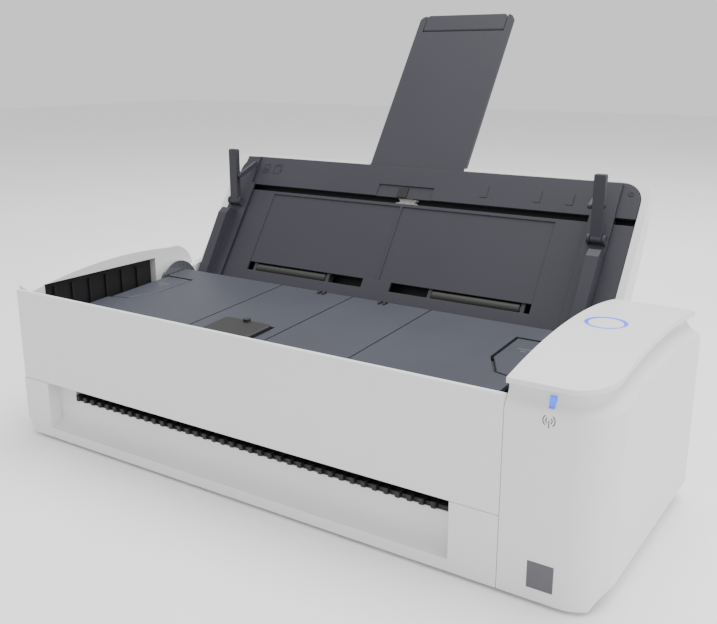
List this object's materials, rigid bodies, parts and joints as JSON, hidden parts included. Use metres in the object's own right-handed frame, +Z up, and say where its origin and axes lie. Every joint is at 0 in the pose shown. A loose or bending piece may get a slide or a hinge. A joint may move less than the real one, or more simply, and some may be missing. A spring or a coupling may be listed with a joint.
{
  "type": "sheet fed document scanner",
  "caption": "Compact sheet fed document scanner with an opening lid that forms the paper chute, a pull-out paper support and a control pod with a scan button.",
  "frame": {"origin": "middle of the closed casing's footprint, in the plane of the feet", "axes": "+X to the right seen from the front, +Y to the back, +Z up"},
  "size_m": [0.296, 0.2183, 0.207],
  "materials": {
    "white_plastic": "fine satin moulded plastic",
    "chute_plastic": "dark grey moulded plastic with a fine grain",
    "cover_plastic": "blue grey moulded plastic",
    "black_plastic": "black moulded plastic",
    "light_blue": "lit light guide",
    "rubber": "soft rubber",
    "steel": "zinc plated sheet steel",
    "gear_plastic": "natural acetal",
    "glass": "clear",
    "circuit_board": "green solder mask"
  },
  "bodies": {
    "base": {"lower_housing": "white_plastic", "slot_comb": "black_plastic", "front_panel": "white_plastic", "left_side_cover": "white_plastic", "left_inner_cover": "black_plastic", "pod_housing": "white_plastic", "pod_top_plate": "white_plastic", "led_ring": "light_blue", "button_board": "circuit_board", "status_led": "light_blue", "rear_cover": "white_plastic", "rear_tray": "black_plastic", "bottom_cover": "black_plastic", "rubber_feet": "rubber", "case_screws": "steel", "left_frame": "steel", "right_frame": "steel", "frame_pins": "steel", "shaft_bushes": "gear_plastic", "drive_motor": "steel", "path_floor": "black_plastic", "path_roof": "black_plastic", "feed_guide": "black_plastic", "separation_pad": "rubber", "lower_sensor": "black_plastic", "upper_sensor": "black_plastic", "sensor_glasses": "glass", "main_board": "circuit_board", "usb_port": "steel", "power_inlet": "black_plastic"},
    "scan_button": {"scan_button": "white_plastic"},
    "feed_drive": {"feed_shaft": "gear_plastic", "feed_roller": "rubber"},
    "pick_drive": {"pick_shaft": "gear_plastic", "pick_roller": "rubber"},
    "exit_drive": {"exit_shaft": "gear_plastic", "exit_roller": "rubber"},
    "rear_idler": {"rear_idler_gear": "gear_plastic"},
    "front_idler": {"front_idler_gear": "gear_plastic"},
    "motor_drive": {"motor_gear": "gear_plastic"},
    "feed_pinch": {"feed_pinch_roller": "rubber"},
    "exit_pinch": {"exit_pinch_roller": "rubber"},
    "feed_cover": {"feed_cover": "cover_plastic"},
    "cover_catch": {"cover_catch": "black_plastic"},
    "left_lever": {"left_release_lever": "cover_plastic"},
    "right_lever": {"right_release_lever": "cover_plastic"},
    "lid": {"lid_shell": "white_plastic", "chute_plate": "chute_plastic", "header_plate": "chute_plastic"},
    "left_chute_roller": {"left_chute_roller": "rubber"},
    "right_chute_roller": {"right_chute_roller": "rubber"},
    "extension": {"extension": "chute_plastic"},
    "extension_flap": {"extension_flap": "chute_plastic"},
    "left_guide": {"left_guide": "chute_plastic"},
    "right_guide": {"right_guide": "chute_plastic"},
    "guide_pinion": {"guide_pinion": "gear_plastic"},
    "left_fin": {"left_fin": "chute_plastic"},
    "right_fin": {"right_fin": "chute_plastic"},
    "left_strut": {"left_strut": "chute_plastic"},
    "right_strut": {"right_strut": "chute_plastic"}
  },
  "joints": [
    {"name": "lid_hinge", "type": "hinge", "parent": "base", "child": "lid", "pos_m": [0, 0.038, 0.0596], "axis": [1, 0, 0], "range_deg": [0, 124.3]},
    {"name": "extension_slide", "type": "slide", "parent": "lid", "child": "extension", "axis": [0, -0.5635, -0.8261], "range_m": [0, 0.096]},
    {"name": "extension_flap_pivot", "type": "hinge", "parent": "extension", "child": "extension_flap", "pos_m": [0, 0.15524, 0.19873], "axis": [-1, 0, 0], "range_deg": [-90, 0]},
    {"name": "left_guide_slide", "type": "slide", "parent": "lid", "child": "left_guide", "axis": [1, 0, 0], "range_m": [0, 0.062]},
    {"name": "right_guide_slide", "type": "slide", "parent": "lid", "child": "right_guide", "axis": [1, 0, 0], "range_m": [-0.062, 0]},
    {"name": "guide_pinion_spin", "type": "hinge", "parent": "lid", "child": "guide_pinion", "pos_m": [-0.0175, 0.09567, 0.10741], "axis": [0, -0.8261, 0.5635], "range_deg": [-600, 5]},
    {"name": "left_fin_pivot", "type": "hinge", "parent": "left_guide", "child": "left_fin", "pos_m": [0, 0.08217, 0.1027], "axis": [1, 0, 0], "range_deg": [-34.4, 0.1]},
    {"name": "right_fin_pivot", "type": "hinge", "parent": "right_guide", "child": "right_fin", "pos_m": [0, 0.08217, 0.1027], "axis": [1, 0, 0], "range_deg": [-34.4, 0.1]},
    {"name": "left_strut_pivot", "type": "hinge", "parent": "left_fin", "child": "left_strut", "pos_m": [0, 0.08217, 0.1177], "axis": [1, 0, 0], "range_deg": [-0.1, 68.7]},
    {"name": "right_strut_pivot", "type": "hinge", "parent": "right_fin", "child": "right_strut", "pos_m": [0, 0.08217, 0.1177], "axis": [1, 0, 0], "range_deg": [-0.1, 68.7]},
    {"name": "left_chute_roller_spin", "type": "hinge", "parent": "lid", "child": "left_chute_roller", "pos_m": [0, 0.06669, 0.06811], "axis": [1, 0, 0], "continuous": true},
    {"name": "right_chute_roller_spin", "type": "hinge", "parent": "lid", "child": "right_chute_roller", "pos_m": [0, 0.06669, 0.06811], "axis": [1, 0, 0], "continuous": true},
    {"name": "feed_cover_hinge", "type": "hinge", "parent": "base", "child": "feed_cover", "pos_m": [0, -0.0485, 0.0585], "axis": [-1, 0, 0], "range_deg": [-70, 0]},
    {"name": "cover_catch_pivot", "type": "hinge", "parent": "feed_cover", "child": "cover_catch", "pos_m": [0, -0.03556, 0.06245], "axis": [-1, 0, 0], "range_deg": [-20, 0]},
    {"name": "left_lever_pivot", "type": "hinge", "parent": "base", "child": "left_lever", "pos_m": [0, -0.009, 0.0586], "axis": [-1, 0, 0], "range_deg": [-12, 0]},
    {"name": "right_lever_pivot", "type": "hinge", "parent": "base", "child": "right_lever", "pos_m": [0, -0.009, 0.0586], "axis": [-1, 0, 0], "range_deg": [-12, 0]},
    {"name": "scan_button_press", "type": "slide", "parent": "base", "child": "scan_button", "axis": [0, 0, -1], "range_m": [0, 0.0008], "stiffness_N_per_m": 400, "springref_m": -0.001},
    {"name": "feed_spin", "type": "hinge", "parent": "base", "child": "feed_drive", "pos_m": [0, 0.0192, 0.03287], "axis": [1, 0, 0], "continuous": true},
    {"name": "pick_spin", "type": "hinge", "parent": "base", "child": "pick_drive", "pos_m": [0, 0.04053, 0.05265], "axis": [1, 0, 0], "continuous": true},
    {"name": "exit_spin", "type": "hinge", "parent": "base", "child": "exit_drive", "pos_m": [0, -0.029, 0.02431], "axis": [1, 0, 0], "continuous": true},
    {"name": "rear_idler_spin", "type": "hinge", "parent": "base", "child": "rear_idler", "pos_m": [0, 0.02699, 0.0491], "axis": [1, 0, 0], "continuous": true},
    {"name": "front_idler_spin", "type": "hinge", "parent": "base", "child": "front_idler", "pos_m": [0, -0.00569, 0.02732], "axis": [1, 0, 0], "continuous": true},
    {"name": "motor_spin", "type": "hinge", "parent": "base", "child": "motor_drive", "pos_m": [0, -0.00907, 0.04652], "axis": [1, 0, 0], "continuous": true},
    {"name": "feed_pinch_spin", "type": "hinge", "parent": "base", "child": "feed_pinch", "pos_m": [0, 0.01719, 0.04297], "axis": [1, 0, 0], "continuous": true},
    {"name": "exit_pinch_spin", "type": "hinge", "parent": "base", "child": "exit_pinch", "pos_m": [0, -0.03081, 0.03344], "axis": [1, 0, 0], "continuous": true}
  ],
  "couplings": [
    {"joint": "right_guide_slide", "follows": "left_guide_slide", "ratio": -1},
    {"joint": "guide_pinion_spin", "follows": "left_guide_slide", "rad_per_m": -166.67},
    {"joint": "left_fin_pivot", "follows": "lid_hinge", "ratio": -0.27594},
    {"joint": "right_fin_pivot", "follows": "lid_hinge", "ratio": -0.27594},
    {"joint": "left_strut_pivot", "follows": "lid_hinge", "ratio": 0.55189},
    {"joint": "right_strut_pivot", "follows": "lid_hinge", "ratio": 0.55189},
    {"joint": "rear_idler_spin", "follows": "feed_spin", "ratio": -2},
    {"joint": "pick_spin", "follows": "feed_spin", "ratio": 1.5},
    {"joint": "front_idler_spin", "follows": "feed_spin", "ratio": -0.88889},
    {"joint": "exit_spin", "follows": "feed_spin", "ratio": 1.2},
    {"joint": "motor_spin", "follows": "feed_spin", "ratio": 2}
  ]
}
